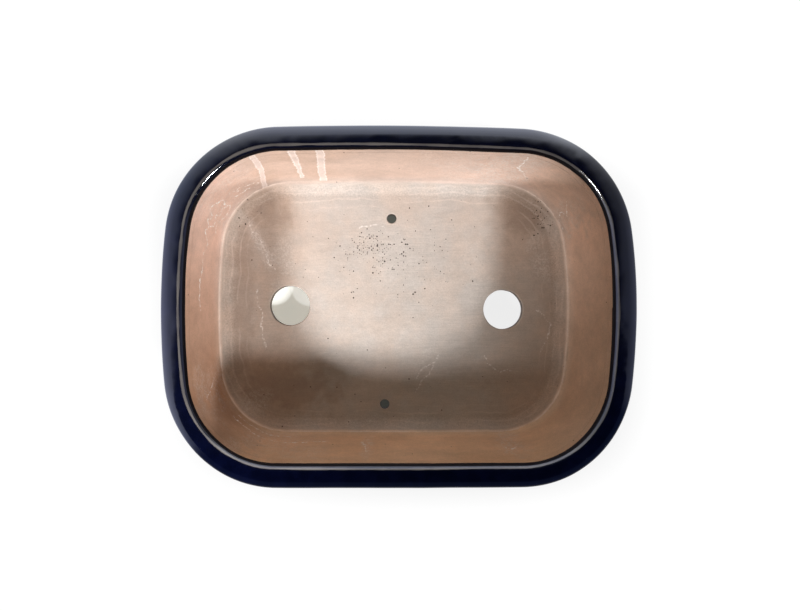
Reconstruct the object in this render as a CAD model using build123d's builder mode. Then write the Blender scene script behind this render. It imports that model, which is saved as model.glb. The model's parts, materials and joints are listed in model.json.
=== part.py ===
"""Hand-built stoneware bonsai pot: a bow-sided oblong tray with a leaning wall, a rolled lip and four feet.

Millimetres. The origin is on the ground under the middle of the pot, +X runs along its length and +Z is up.
Every outline in plan is the same bowed oblong, inset from the widest line of the lip, so a place in the
pot's cross-section is given as an inset and a height.
"""

from build123d import *
import math
import os

# ---- plan outline, at the widest line of the glazed lip
RIM_LENGTH = 260.0
RIM_WIDTH = 197.6
CORNER_RADIUS = 63.3
LONG_SIDE_BOW = 1.15  # how far the middle of a long side stands out past its ends
SHORT_SIDE_BOW = 2.2

# ---- heights
TOTAL_HEIGHT = 86.0
FOOT_HEIGHT = 9.0
FLOOR_THICKNESS = 8.0
LIP_HEIGHT = 11.0

# ---- wall, between the floor slab and the lip
WALL_THICKNESS = 7.2
INNER_INSET_AT_TOP = 12.8
INNER_INSET_AT_FLOOR = 21.7
WALL_BELLY = 1.0  # how far the outside swells past a straight line
BASE_EDGE_RADIUS = 3.0

# ---- lip
LIP_INNER_RADIUS = 1.9
LIP_ROLL_RADIUS = 6.4
LIP_EDGE_INSET = 3.6  # lower edge of the lip, where it turns in to meet the wall
LIP_EDGE_RISE = 1.2

# ---- coil of clay smoothed into the corner between the wall and the floor
COIL_HEIGHT = 6.3
COIL_WIDTH = 7.3
COIL_CREST = 0.7  # the ledge that its upper edge makes on the wall
COIL_TOE = 0.4  # its thickness where it fades out on the floor
COIL_HOLLOW = 0.9  # how far its face sags behind a straight line

# ---- feet: curved pads under the four corners, a little narrower at the ground
FOOT_OUTER_INSET = 18.6
FOOT_WIDTH = 13.0
FOOT_SPAN = 68.0  # degrees of the corner between the centres of a foot's round ends
FOOT_TAPER = 10.0  # degrees

# ---- glaze: over the lip, the outside of the wall and the outside of the feet
GLAZE = 0.6
GLAZE_DEPTH_INSIDE = 5.0  # how far it runs down inside the lip
FOOT_WIPED_BAND = 1.8  # the bottom of each foot is wiped clean before firing

# ---- holes through the floor: each is cut or pierced by hand, so their places aren't quite even
DRAIN_HOLE_RADIUS = 12.5
DRAIN_HOLES = ((-68.0, 1.0), (67.0, -1.0))
WIRE_HOLE_RADIUS = 3.0
WIRE_HOLES = ((-4.0, 56.5), (-8.0, -61.0))

# ---- worked out from the sizes above
FLOOR_TOP = FOOT_HEIGHT + FLOOR_THICKNESS
CLAY_TOP = TOTAL_HEIGHT - GLAZE
WALL_TOP = TOTAL_HEIGHT - LIP_HEIGHT
WALL_LEAN = (INNER_INSET_AT_FLOOR - INNER_INSET_AT_TOP) / (CLAY_TOP - FLOOR_TOP)
BASE_INSET = INNER_INSET_AT_FLOOR - WALL_THICKNESS
CORNER_X = RIM_LENGTH / 2 - SHORT_SIDE_BOW - CORNER_RADIUS
CORNER_Y = RIM_WIDTH / 2 - LONG_SIDE_BOW - CORNER_RADIUS
FOOT_RADIUS = CORNER_RADIUS - FOOT_OUTER_INSET - FOOT_WIDTH / 2
SHORT_SIDE_TURN = 2 * math.degrees(math.atan(SHORT_SIDE_BOW / CORNER_Y))
LONG_SIDE_TURN = 2 * math.degrees(math.atan(LONG_SIDE_BOW / CORNER_X))


def save(piece, name):
    """Labels a finished piece and writes it to its own file."""
    piece.part.label = name
    export_step(piece.part, f"parts/{name}.step")


def draw_outline(inset):
    """Draws the bowed oblong: one quarter of three arcs that meet in line, mirrored both ways."""
    corner = CORNER_RADIUS - inset
    short_side = corner + CORNER_Y / math.sin(math.radians(SHORT_SIDE_TURN))
    long_side = corner + CORNER_X / math.sin(math.radians(LONG_SIDE_TURN))
    CenterArc((RIM_LENGTH / 2 - inset - short_side, 0), short_side, 0, SHORT_SIDE_TURN)
    CenterArc((CORNER_X, CORNER_Y), corner, SHORT_SIDE_TURN, 90 - SHORT_SIDE_TURN - LONG_SIDE_TURN)
    CenterArc((0, RIM_WIDTH / 2 - inset - long_side), long_side, 90 - LONG_SIDE_TURN, LONG_SIDE_TURN)
    mirror(about=Plane.XZ)
    mirror(about=Plane.YZ)


def at(inset, height):
    """A point of the cross-section through the middle of the +X side."""
    return (RIM_LENGTH / 2 - inset, height)


def inner_face(height):
    """The point of the inner clay face at a height."""
    return at(INNER_INSET_AT_TOP + WALL_LEAN * (CLAY_TOP - height), height)


def neck():
    """The point outside where the wall ends and the lip begins."""
    return (inner_face(WALL_TOP)[0] + WALL_THICKNESS, WALL_TOP)


def draw_wall():
    """Draws the wall's cross-section: straight inside, gently swelling outside."""
    foot_of_wall = at(BASE_INSET, FLOOR_TOP)
    swell = ((neck()[0] + foot_of_wall[0]) / 2 + WALL_BELLY, (WALL_TOP + FLOOR_TOP) / 2)
    Polyline(foot_of_wall, inner_face(FLOOR_TOP), inner_face(WALL_TOP), neck())
    ThreePointArc(neck(), swell, foot_of_wall)


def draw_lip():
    """Draws the lip's cross-section: tight inner edge, flat top, broad outward roll, undercut."""
    inner_edge = inner_face(CLAY_TOP - LIP_INNER_RADIUS)
    flat_start = at(INNER_INSET_AT_TOP - LIP_INNER_RADIUS, CLAY_TOP)
    flat_end = at(GLAZE + LIP_ROLL_RADIUS, CLAY_TOP)
    widest = at(GLAZE, CLAY_TOP - LIP_ROLL_RADIUS)
    lower_edge = at(LIP_EDGE_INSET, WALL_TOP + LIP_EDGE_RISE)
    Polyline(lower_edge, neck(), inner_face(WALL_TOP), inner_edge)
    TangentArc(inner_edge, flat_start, tangent=(WALL_LEAN, 1))
    Line(flat_start, flat_end)
    TangentArc(flat_end, widest, tangent=(1, 0))
    TangentArc(widest, lower_edge, tangent=(0, -1))


def draw_slab_edge():
    """Draws the cross-section of the floor slab's rounded edge, as far in as the wall stands on it."""
    curve_start = at(BASE_INSET + BASE_EDGE_RADIUS, FOOT_HEIGHT)
    curve_end = at(BASE_INSET, FOOT_HEIGHT + BASE_EDGE_RADIUS)
    inner_bottom = at(INNER_INSET_AT_FLOOR, FOOT_HEIGHT)
    Polyline(curve_start, inner_bottom, inner_face(FLOOR_TOP), at(BASE_INSET, FLOOR_TOP), curve_end)
    TangentArc(curve_start, curve_end, tangent=(1, 0))


def draw_coil():
    """Draws the seam coil's cross-section: a hollow-faced fillet with a small ledge at its upper edge."""
    crest_height = FLOOR_TOP + COIL_HEIGHT
    crest = (inner_face(crest_height)[0] - COIL_CREST, crest_height - COIL_CREST)
    toe = at(INNER_INSET_AT_FLOOR + COIL_WIDTH, FLOOR_TOP)
    toe_top = (toe[0], FLOOR_TOP + COIL_TOE)
    hollow = ((crest[0] + toe_top[0] + COIL_HOLLOW) / 2, (crest[1] + toe_top[1] - COIL_HOLLOW) / 2)
    Polyline(toe_top, toe, inner_face(FLOOR_TOP), inner_face(crest_height), crest)
    ThreePointArc(crest, hollow, toe_top)


def draw_glazed_zone():
    """Draws round the stretch of the cross-section's edge that is glazed."""
    glaze_line = TOTAL_HEIGHT - GLAZE_DEPTH_INSIDE
    bottom = FOOT_HEIGHT - GLAZE
    Polyline(
        at(0, bottom),
        at(BASE_INSET + BASE_EDGE_RADIUS, bottom),
        at(INNER_INSET_AT_TOP - GLAZE, glaze_line),
        at(INNER_INSET_AT_TOP + WALL_THICKNESS, glaze_line),
        at(INNER_INSET_AT_TOP + WALL_THICKNESS, TOTAL_HEIGHT),
        at(0, TOTAL_HEIGHT),
        close=True,
    )


def foot_pad():
    """The plan of the foot under the back right corner: an arc with round ends."""
    spine = CenterArc(
        (CORNER_X, CORNER_Y), FOOT_RADIUS, 45 - FOOT_SPAN / 2, FOOT_SPAN, mode=Mode.PRIVATE
    )
    SlotArc(spine, FOOT_WIDTH)


os.makedirs("parts", exist_ok=True)

# ---- floor slab, with its two drain holes and two wire holes
with BuildPart() as floor_slab:
    with BuildSketch(Plane.XY.offset(FOOT_HEIGHT)):
        with BuildLine():
            draw_outline(BASE_INSET)
        make_face()
        with Locations(*DRAIN_HOLES):
            Circle(DRAIN_HOLE_RADIUS, mode=Mode.SUBTRACT)
        with Locations(*WIRE_HOLES):
            Circle(WIRE_HOLE_RADIUS, mode=Mode.SUBTRACT)
    extrude(amount=FLOOR_THICKNESS)
    underside = floor_slab.faces().sort_by(Axis.Z).first
    fillet(underside.outer_wire().edges(), radius=BASE_EDGE_RADIUS)
save(floor_slab, "floor_slab")

# ---- wall, standing on the slab
with BuildPart() as wall:
    with BuildLine():
        draw_outline(0)
    with BuildSketch(Plane.XZ):
        with BuildLine():
            draw_wall()
        make_face()
    sweep()
save(wall, "wall")

# ---- lip band, on top of the wall
with BuildPart() as rim_band:
    with BuildLine():
        draw_outline(0)
    with BuildSketch(Plane.XZ):
        with BuildLine():
            draw_lip()
        make_face()
    sweep()
save(rim_band, "rim_band")

# ---- coil that seals the inside corner
with BuildPart() as seam_coil:
    with BuildLine():
        draw_outline(0)
    with BuildSketch(Plane.XZ):
        with BuildLine():
            draw_coil()
        make_face()
    sweep()
save(seam_coil, "seam_coil")

# ---- body glaze: a skin on the lip, the outside of the wall and the slab's rounded edge
with BuildSketch(Plane.XZ) as clay:
    for draw_clay in (draw_slab_edge, draw_wall, draw_lip):
        with BuildLine():
            draw_clay()
        make_face()

with BuildPart() as body_glaze:
    with BuildLine():
        draw_outline(0)
    with BuildSketch(Plane.XZ):
        offset(clay.sketch_local, amount=GLAZE)
        add(clay.sketch_local, mode=Mode.SUBTRACT)
        with BuildLine():
            draw_glazed_zone()
        make_face(mode=Mode.INTERSECT)
    sweep()
save(body_glaze, "body_glaze")

# ---- feet and their glaze, modelled at one corner and mirrored to the other three
with BuildPart() as foot:
    with BuildSketch(Plane.XY.offset(FOOT_HEIGHT)):
        foot_pad()
    extrude(amount=-FOOT_HEIGHT, taper=FOOT_TAPER)

with BuildPart() as foot_glaze:
    with BuildSketch(Plane.XY.offset(FOOT_HEIGHT)):
        foot_pad()
        offset(amount=GLAZE)
    extrude(amount=FOOT_WIPED_BAND - FOOT_HEIGHT, taper=FOOT_TAPER)
    add(foot.part, mode=Mode.SUBTRACT)
    with BuildSketch():
        with Locations((CORNER_X, CORNER_Y)):
            Circle(FOOT_RADIUS)
    extrude(amount=FOOT_HEIGHT, mode=Mode.SUBTRACT)

for corner_name, mirrors in (
    ("back_right", ()),
    ("back_left", (Plane.YZ,)),
    ("front_right", (Plane.XZ,)),
    ("front_left", (Plane.YZ, Plane.XZ)),
):
    for piece_name, original in (("foot", foot), ("foot_glaze", foot_glaze)):
        with BuildPart() as placed:
            add(original.part)
            for plane in mirrors:
                mirror(about=plane, mode=Mode.REPLACE)
        save(placed, f"{piece_name}_{corner_name}")
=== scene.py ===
"""The looks of a hand-built bonsai pot with a navy glaze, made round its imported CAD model. Metres, +Z up."""

import json
import math

import bpy
import numpy as np
from mathutils import Matrix, Vector


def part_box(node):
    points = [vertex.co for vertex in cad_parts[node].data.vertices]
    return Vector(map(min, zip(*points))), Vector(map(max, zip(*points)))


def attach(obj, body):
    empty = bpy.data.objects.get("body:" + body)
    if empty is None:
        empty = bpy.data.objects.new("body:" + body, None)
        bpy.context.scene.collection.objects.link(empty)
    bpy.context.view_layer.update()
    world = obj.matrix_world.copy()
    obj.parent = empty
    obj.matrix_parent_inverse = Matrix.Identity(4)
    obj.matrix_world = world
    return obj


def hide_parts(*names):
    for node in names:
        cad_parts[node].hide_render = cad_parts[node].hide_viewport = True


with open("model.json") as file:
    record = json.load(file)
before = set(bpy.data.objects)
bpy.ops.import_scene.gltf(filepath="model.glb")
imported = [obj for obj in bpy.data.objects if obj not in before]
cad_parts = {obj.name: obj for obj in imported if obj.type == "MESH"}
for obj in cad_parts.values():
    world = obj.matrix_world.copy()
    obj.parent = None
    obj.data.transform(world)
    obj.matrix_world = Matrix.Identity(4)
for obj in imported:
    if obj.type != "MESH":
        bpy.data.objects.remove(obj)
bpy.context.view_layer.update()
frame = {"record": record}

MM = 0.001

# ---- sizes read from the CAD model
slab_low, slab_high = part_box("floor_slab")
HALF_LENGTH, HALF_WIDTH, TOTAL_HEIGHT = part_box("body_glaze")[1]
FOOT_HEIGHT = slab_low.z
FLOOR_TOP = slab_high.z
WALL_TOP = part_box("wall")[1].z
COIL_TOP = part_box("seam_coil")[1].z
BASE_INSET = HALF_LENGTH - slab_high.x
MOUNTS = {mount["name"]: mount for mount in frame["record"]["mounts"]}

# ---- plan outline at the widest line of the lip, as in the CAD model
CORNER_RADIUS = 63.3 * MM
LONG_SIDE_BOW = 1.15 * MM
SHORT_SIDE_BOW = 2.2 * MM

# ---- cross-section, as in the CAD model: an inset is measured inwards from the widest line of the lip
GLAZE = 0.6 * MM
WALL_THICKNESS = 7.2 * MM
INNER_INSET_AT_TOP = 12.8 * MM
INNER_INSET_AT_FLOOR = 21.7 * MM
WALL_BELLY = 1.0 * MM
BASE_EDGE_RADIUS = 3.0 * MM
LIP_INNER_RADIUS = 1.9 * MM
LIP_ROLL_RADIUS = 6.4 * MM
LIP_UNDER_RADIUS = 2.8 * MM
LIP_CROWN = 6.0  # degrees that the top of the lip falls away to each side
COIL_WIDTH = 7.3 * MM
FOOT_OUTER_INSET = 18.6 * MM
FOOT_WIDTH = 13.0 * MM
FOOT_SPAN = 68.0
FOOT_WIPED_BAND = 1.8 * MM
CLAY_TOP = TOTAL_HEIGHT - GLAZE
WALL_LEAN = (INNER_INSET_AT_FLOOR - INNER_INSET_AT_TOP) / (CLAY_TOP - FLOOR_TOP)

# ---- how finely the meshes are cut
ROUND_STEPS = 840
FLOOR_CELL = 1.0 * MM

# ---- unevenness of hand work: bulges of the outline are the share of the way round from +X, half-width and height
BULGES = ((0.870, 0.058, 1.3 * MM), (0.645, 0.050, 1.2 * MM), (0.500, 0.050, -0.9 * MM))
MARK_REACH = 3.0
WALL_LAP = 720.0  # once round the inside of the wall, in millimetres
FLOOR_SHIFT = Vector((-2.7, 0.8)) * MM  # the foot of the inner wall isn't quite under its top
GLAZE_DEPTH_INSIDE = 5.0 * MM

# ---- stains, some of them painted pools of shade at the front and in the back corners, and pale bloom: middle x and y, half-sizes, turn in degrees and strength
FLOOR_STAINS_AND_SHADE = (
    (-97, 6, 8, 48, 0, 0.50),
    (-84, 62, 20, 12, -40, 0.65),
    (86, 62, 22, 13, 42, 0.80),
    (94, 24, 9, 34, 5, 0.40),
    (-70, -50, 33, 16, -4, 0.70),
    (-46, -42, 18, 9, -20, 0.35),
    (58, -42, 26, 7, 0, 0.25),
    (-99, -32, 7, 24, -12, 0.45),
    (-78, 6, 12, 34, 0, 0.22),
    (-78, 44, 12, 20, 24, 0.25),
    (75, 62, 18, 11, -32, 0.45),
)
FLOOR_BLOOMS = (
    (-86, 38, 19, 4.0, -60, 1.00),
    (-72, 32, 8, 14, 10, 0.45),
    (-76, 10, 5, 12, 0, 0.30),
    (92, 26, 6, 13, 8, 0.60),
    (88, 42, 8, 5, 40, 0.45),
    (-88, -60, 12, 7, 25, 0.55),
    (8, 4, 50, 34, 8, 0.14),
    (16, -34, 14, 4, 60, 0.30),
)
WALL_STAINS_AND_SHADE = ((100, 66, 13, 26, 40, 0.35), (-98, -68, 22, 12, -40, 0.35), (113, 0, 8, 60, 0, 0.15))
WALL_BLOOMS = (
    (62, 82, 26, 6, 0, 0.75),
    (40, 84, 30, 5, 0, 0.40),
    (101, 52, 7, 12, 20, 0.55),
    (-96, 68, 17, 5, 38, 0.45),
    (-106, 54, 6, 10, 15, 0.45),
    (-104, -48, 7, 16, 25, 0.40),
    (-70, -79, 30, 4, -8, 0.40),
    (66, -80, 10, 4, 0, 0.55),
    (-18, -81, 4, 3, 0, 0.60),
)
# ---- clusters of pinholes on the floor: middle x and y, half-sizes and density
PINHOLES = (
    (-17, 40, 15, 8, 0.55),
    (-12, 34, 22, 14, 0.22),
    (0, 26, 50, 26, 0.05),
    (92, 60, 9, 13, 0.35),
    (-96, 60, 12, 14, 0.12),
)
# ---- pale slip that ran down the back wall: shares of the way round and heights, then half-widths at its ends
SLIP_RUNS = (
    (((0.3583, 83), (0.3563, 67), (0.3565, 51), (0.3620, 22)), 2.3, 2.1),
    (((0.3254, 84), (0.3240, 60), (0.3216, 33)), 2.2, 1.3),
    (((0.3052, 84), (0.3059, 59), (0.3060, 24)), 2.1, 2.2),
)
# ---- thin chalky scratches on the wall: shares of the way round and heights
WALL_SCRATCHES = (
    ((0.4465, 54), (0.4410, 57), (0.4363, 53), (0.4300, 56), (0.4250, 51), (0.4215, 58), (0.4180, 62), (0.4120, 55)),
    ((0.4120, 55), (0.4065, 51), (0.4085, 44), (0.4049, 35), (0.4151, 31), (0.4230, 36), (0.4315, 40), (0.4400, 38)),
    ((0.4363, 53), (0.4340, 46), (0.4270, 44), (0.4230, 48), (0.4190, 41), (0.4130, 44), (0.4080, 38)),
    ((0.4465, 54), (0.4540, 50), (0.4615, 57), (0.4700, 56), (0.4807, 60), (0.4958, 59), (0.5060, 57)),
    ((0.3960, 50), (0.3894, 42), (0.3840, 46), (0.3763, 41), (0.3674, 39), (0.3640, 33)),
    ((0.3960, 40), (0.3880, 36), (0.3800, 37), (0.3720, 32)),
    ((0.1549, 76), (0.1572, 66), (0.1590, 57), (0.1530, 51), (0.1480, 46), (0.1430, 45)),
    ((0.1556, 75), (0.1580, 64), (0.1596, 56), (0.1545, 51)),
    ((0.0877, 43), (0.0860, 37), (0.0877, 33), (0.0790, 26), (0.0686, 27)),
    ((0.0960, 50), (0.0900, 42), (0.0830, 39)),
    ((0.8302, 54), (0.8351, 57), (0.8427, 53)),
    ((0.7260, 44), (0.7284, 62)),
    ((0.6060, 38), (0.6344, 42), (0.6573, 45), (0.6784, 45), (0.7000, 44)),
    ((0.6100, 31), (0.6400, 33), (0.6700, 36)),
    ((0.5600, 40), (0.5700, 50), (0.5760, 62)),
)
FLOOR_SCRATCHES = (
    ((26, -29), (22, -36), (21, -41), (16, -46), (11, -53)),
    ((24, -33), (17, -39), (12, -45)),
    ((-24, 51), (-16, 52), (-8, 52)),
    ((-77, 23), (-80, 27), (-82, 29), (-85, 37), (-88, 43), (-91, 47), (-94, 52)),
    ((-89, 11), (-88, 4), (-85, -6), (-86, -12), (-85, -18), (-83, -26)),
    ((88, -1), (94, -4), (97, -11), (95, -19), (90, -27)),
    ((56, -30), (58, -36), (66, -40), (72, -41)),
)

# ---- light that reaches the table through the holes: hole, place beside it and soft edge in mm, strength, tint
UNDER_HOLES = (
    ("drain_left", (0, 0), (17, 23), 0.37, (1.0, 0.985, 0.87)),
    ("drain_left", (-12.5, 13), (11.5, 13.2), 0.20, (0.95, 1.0, 1.0)),
    ("drain_left", (11, 12.5), (12.0, 13.2), 0.19, (0.96, 0.98, 1.0)),
    ("drain_right", (0, 0), (17, 23), 0.82, (1.0, 1.0, 1.0)),
    ("wire_back", (0, 0), (4, 6), 0.09, (1.0, 1.0, 0.85)),
    ("wire_front", (0, 0), (4, 6), 0.035, (1.0, 1.0, 0.85)),
)

# ---- faint pale lines that the finger left along the coil: distance in from the lip's widest line, and strength
FINGER_LINES = ((23.6, 0.20), (27.0, 0.22), (32.0, 0.26), (36.5, 0.14))

# ---- the studio, a quarter of its brightness: by direction from -X round past -Y, +X and +Y to -X, then by height
AMBIENT = 0.12
AMBIENT_BEHIND = 0.06
AMBIENT_TINT = (1.06, 1.03, 0.86)
STUDIO_WALLS = (
    (0.00, (0.36, 0.38, 0.55)),
    (0.045, (0.47, 0.50, 0.66)),
    (0.085, (0.30, 0.33, 0.45)),
    (0.12, (0.012, 0.015, 0.03)),
    (0.44, (0.010, 0.015, 0.03)),
    (0.465, (0.09, 0.10, 0.15)),
    (0.50, (0.13, 0.14, 0.20)),
    (0.58, (0.125, 0.13, 0.15)),
    (0.625, (0.27, 0.28, 0.31)),
    (0.665, (0.80, 0.84, 0.95)),
    (0.70, (0.70, 0.74, 0.88)),
    (0.75, (0.62, 0.67, 0.84)),
    (0.79, (0.67, 0.71, 0.88)),
    (0.835, (0.60, 0.63, 0.72)),
    (0.875, (0.37, 0.40, 0.50)),
    (0.92, (0.27, 0.31, 0.44)),
    (1.00, (0.33, 0.35, 0.52)),
)
# ---- sine of the height up to which each direction is bright, the same way round
STUDIO_TOPS = (
    (0.00, 0.960),
    (0.04, 0.900),
    (0.085, 0.58),
    (0.44, 0.60),
    (0.46, 0.76),
    (0.50, 0.99),
    (0.56, 0.94),
    (0.62, 0.93),
    (0.67, 0.935),
    (0.71, 0.905),
    (0.75, 0.925),
    (0.83, 0.945),
    (0.875, 0.93),
    (1.00, 0.960),
)
STUDIO_FADE = ((0.0, 0.2), (0.12, 0.27), (0.25, 0.48), (0.37, 0.70), (0.5, 0.92), (0.55, 1.0), (0.78, 1.0), (0.9, 0.80), (1.0, 0.6))


# ------------------------------------------------------------------ noise and small maths


def smooth(x, low, high):
    """0 below low, 1 above high, and an S-curve between."""
    t = np.clip((x - low) / (high - low), 0, 1)
    return t * t * (3 - 2 * t)


class Noise:
    """Smooth seeded noise from about -1 to 1, which repeats after CELLS cells along each axis."""

    CELLS = 64

    def __init__(self, seed, octaves=1):
        self.table = np.random.default_rng(seed).uniform(-1, 1, (self.CELLS,) * 3)
        self.octaves = octaves

    def layer(self, cells):
        low = np.floor(cells).astype(int)
        part = cells - low
        part = part**3 * (part * (part * 6 - 15) + 10)
        total = np.zeros(cells.shape[:-1])
        for corner in range(8):
            step = np.array([corner >> 2 & 1, corner >> 1 & 1, corner & 1])
            weight = np.where(step, part, 1 - part).prod(axis=-1)
            i, j, k = np.moveaxis((low + step) % self.CELLS, -1, 0)
            total += weight * self.table[i, j, k]
        return total * 1.6

    def __call__(self, points, size=1.0):
        """Noise at points, with features about `size` across: one number, or one for each axis."""
        cells = np.asarray(points) / np.asarray(size)
        total = np.zeros(cells.shape[:-1])
        share = 1.0
        for _ in range(self.octaves):
            total += share * self.layer(cells)
            cells = cells * 2
            share *= 0.5
        return total / (2 - 2 * share)


waves = Noise(11, octaves=2)
tooling = Noise(23, octaves=3)
grit = Noise(37, octaves=2)


# ------------------------------------------------------------------ plan outline


def outline(count):
    """Points round the widest line of the lip and their outward directions, evenly spaced."""
    corner_x = HALF_LENGTH - SHORT_SIDE_BOW - CORNER_RADIUS
    corner_y = HALF_WIDTH - LONG_SIDE_BOW - CORNER_RADIUS
    short_turn = 2 * math.atan(SHORT_SIDE_BOW / corner_y)
    long_turn = 2 * math.atan(LONG_SIDE_BOW / corner_x)
    short_radius = CORNER_RADIUS + corner_y / math.sin(short_turn)
    long_radius = CORNER_RADIUS + corner_x / math.sin(long_turn)
    quarter = []
    for x, y, radius, start, end in (
        (HALF_LENGTH - short_radius, 0, short_radius, 0, short_turn),
        (corner_x, corner_y, CORNER_RADIUS, short_turn, math.pi / 2 - long_turn),
        (0, HALF_WIDTH - long_radius, long_radius, math.pi / 2 - long_turn, math.pi / 2),
    ):
        angle = np.linspace(start, end, 400)
        across = np.stack([np.cos(angle), np.sin(angle)], axis=1)
        quarter.append(np.hstack([np.array([x, y]) + radius * across, across]))
    quarter = np.vstack(quarter)
    back = np.vstack([quarter, quarter[::-1] * (-1, 1, -1, 1)])
    whole = np.vstack([back, back[::-1] * (1, -1, 1, -1)])
    length = np.concatenate([[0], np.hypot(*np.diff(whole[:, :2], axis=0).T).cumsum()])
    places = np.arange(count) / count * length[-1]
    even = np.stack([np.interp(places, length, column) for column in whole.T], axis=1)
    points = even[:, :2]
    directions = even[:, 2:] / np.linalg.norm(even[:, 2:], axis=1, keepdims=True)
    for share, width, height in BULGES:
        bulge = height * np.exp(-(((np.arange(count) / count - share) / width) ** 2))
        points = points + directions * bulge[:, None]
    return points, directions


RIM_POINTS, RIM_DIRECTIONS = outline(ROUND_STEPS)
ROUND_SHARE = np.arange(ROUND_STEPS) / ROUND_STEPS  # from the middle of the +X side, anticlockwise


def round_pot(inset, height):
    """Rings of points from insets and heights, each one row for the whole pot or one for each ring."""
    inset = np.atleast_2d(inset)
    height = np.atleast_2d(height)
    plan = RIM_POINTS[:, None] - RIM_DIRECTIONS[:, None] * inset[..., None]
    return np.dstack([plan, np.broadcast_to(height, plan.shape[:2])])


# ------------------------------------------------------------------ cross-section


def inner_inset(height):
    """Inset of the wall's inner face at a height."""
    return INNER_INSET_AT_TOP + WALL_LEAN * (CLAY_TOP - height)


NECK_INSET = inner_inset(WALL_TOP) - WALL_THICKNESS


def arc(centre, radius, start, end):
    """Points of an arc in a section: 0 degrees points outwards, 90 points up."""
    angle = np.radians(np.linspace(start, end, 24))
    return [(centre[0] - radius * math.cos(a), centre[1] + radius * math.sin(a)) for a in angle]


def even_path(points, spacing):
    """The same path with points evenly spaced, as an array of insets and heights."""
    points = np.array(points)
    length = np.concatenate([[0], np.hypot(*np.diff(points, axis=0).T).cumsum()])
    places = np.linspace(0, length[-1], int(round(length[-1] / spacing)) + 1)
    return np.stack([np.interp(places, length, column) for column in points.T], axis=1)


def outer_wall():
    """Outer face of the wall from the neck down to the slab."""
    t = np.linspace(0, 1, 30)
    inset = NECK_INSET + (BASE_INSET - NECK_INSET) * t - 4 * WALL_BELLY * t * (1 - t)
    return list(zip(inset, WALL_TOP + (FLOOR_TOP - WALL_TOP) * t))


def lip_path():
    """Clay surface over the slightly crowned lip, from the top of the inner face to the neck outside."""
    crown = math.radians(LIP_CROWN)
    inner = INNER_INSET_AT_TOP - LIP_INNER_RADIUS * (1 - math.sin(crown))
    outer = GLAZE + LIP_ROLL_RADIUS * (1 - math.sin(crown))
    drop = (inner - outer) / 4 * math.tan(crown)
    shoulder = CLAY_TOP - drop
    inner_centre = (INNER_INSET_AT_TOP - LIP_INNER_RADIUS, shoulder - LIP_INNER_RADIUS * math.cos(crown))
    roll_centre = (GLAZE + LIP_ROLL_RADIUS, shoulder - LIP_ROLL_RADIUS * math.cos(crown))
    path = arc(inner_centre, LIP_INNER_RADIUS, 175, 90 + LIP_CROWN)
    for t in np.linspace(0, 1, 14)[1:-1]:
        path.append((inner + (outer - inner) * t, CLAY_TOP - drop * (2 * t - 1) ** 2))
    path += arc(roll_centre, LIP_ROLL_RADIUS, 90 - LIP_CROWN, 0)
    path += arc((GLAZE + LIP_UNDER_RADIUS, roll_centre[1]), LIP_UNDER_RADIUS, 0, -80)
    return path


def inner_relief(points):
    """How far the inside of the wall stands out from a smooth one."""
    along = np.broadcast_to(ROUND_SHARE[:, None] * Noise.CELLS, points.shape[:2])
    strokes = np.dstack([along, points[..., 2] / (2.2 * MM), np.zeros(points.shape[:2])])
    relief = 0.16 * MM * waves(points, (45 * MM, 45 * MM, 22 * MM))
    relief += 0.05 * MM * tooling(strokes)
    return relief + 0.025 * MM * grit(points, 1.3 * MM)


def lean(points):
    """Shifts the inside of the pot sideways, more and more towards the floor."""
    share = 1 - smooth(points[..., 2], FLOOR_TOP, CLAY_TOP)
    points[..., 0] += FLOOR_SHIFT.x * share
    points[..., 1] += FLOOR_SHIFT.y * share
    return points


# ------------------------------------------------------------------ marks on the clay


def blotches(points, spots):
    """How strongly soft-edged ragged spots cover points, from 0 to 1."""
    total = np.zeros(points.shape[:-1])
    ragged = waves(points + 0.7, 7 * MM) * 0.30 + grit(points + 0.3, 2.4 * MM) * 0.16
    for x, y, long, short, turn, strength in spots:
        angle = math.radians(turn)
        dx, dy = points[..., 0] / MM - x, points[..., 1] / MM - y
        u = (dx * math.cos(angle) + dy * math.sin(angle)) / long
        v = (dy * math.cos(angle) - dx * math.sin(angle)) / short
        total = np.maximum(total, strength * smooth(-np.hypot(u, v) + ragged, -1.25, -0.45))
    return total


def distance_to(places, path):
    """Distance from places to a path of straight runs, and how far along it, from 0 to 1."""
    best = np.full(places.shape[:-1], np.inf)
    along = np.zeros(places.shape[:-1])
    for i, (start, end) in enumerate(zip(path, path[1:])):
        run = end - start
        t = np.clip(((places - start) @ run) / (run @ run), 0, 1)
        gap = np.linalg.norm(places - start - t[..., None] * run, axis=-1)
        along = np.where(gap < best, (i + t) / (len(path) - 1), along)
        best = np.minimum(best, gap)
    return best, along


def nearness(places, paths, widths=(0, 0)):
    """MARK_REACH on the edge of the paths, more inside them and less outside, all in millimetres."""
    total = np.zeros(places.shape[:-1])
    for path in paths:
        gap, along = distance_to(places, np.array(path, float))
        total = np.maximum(total, MARK_REACH + widths[0] + (widths[1] - widths[0]) * along - gap)
    return total


def wobbled(places, points, amount):
    """Places shifted raggedly by about an amount in millimetres."""
    shift = np.stack([grit(points + k, 6 * MM) + 0.5 * grit(points + k, 2 * MM) for k in (0.1, 0.2)], axis=-1)
    return places + amount * shift


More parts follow.
